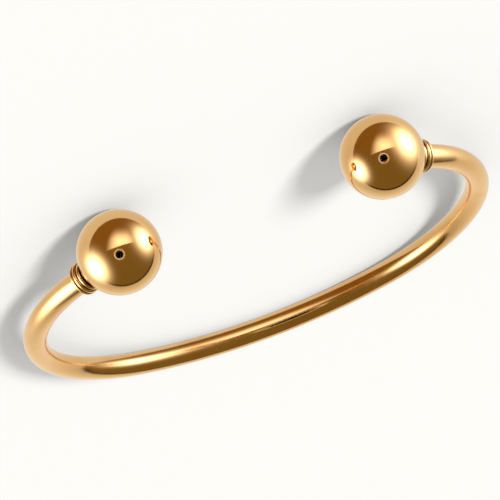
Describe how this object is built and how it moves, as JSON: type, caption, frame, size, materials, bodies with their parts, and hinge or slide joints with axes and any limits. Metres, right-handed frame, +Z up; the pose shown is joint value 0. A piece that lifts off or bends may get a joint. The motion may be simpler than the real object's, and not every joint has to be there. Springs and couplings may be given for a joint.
{
  "type": "torque bangle",
  "caption": "Open oval bangle of round gold bar. Each end has a collar of two rings and a lower half-round band, and a hollow ball, and the wrist slips in between the balls.",
  "frame": {"origin": "on the surface that the bangle lies on, at the bottom middle of its box", "axes": "+X runs across the wrist opening from the left ball to the right ball, +Y from the middle of the back to the mouth, +Z up from the surface"},
  "size_m": [0.0626, 0.052, 0.0105],
  "materials": {
    "bar_gold": "polished yellow gold, with fine wear",
    "collar_gold": "polished yellow gold, darkened in the grooves",
    "ball_gold": "highly polished yellow gold, with fine wear"
  },
  "bodies": {
    "root": {"bar": "bar_gold", "collar_left": "collar_gold", "collar_right": "collar_gold", "ball_left": "ball_gold", "ball_right": "ball_gold"}
  },
  "joints": []
}
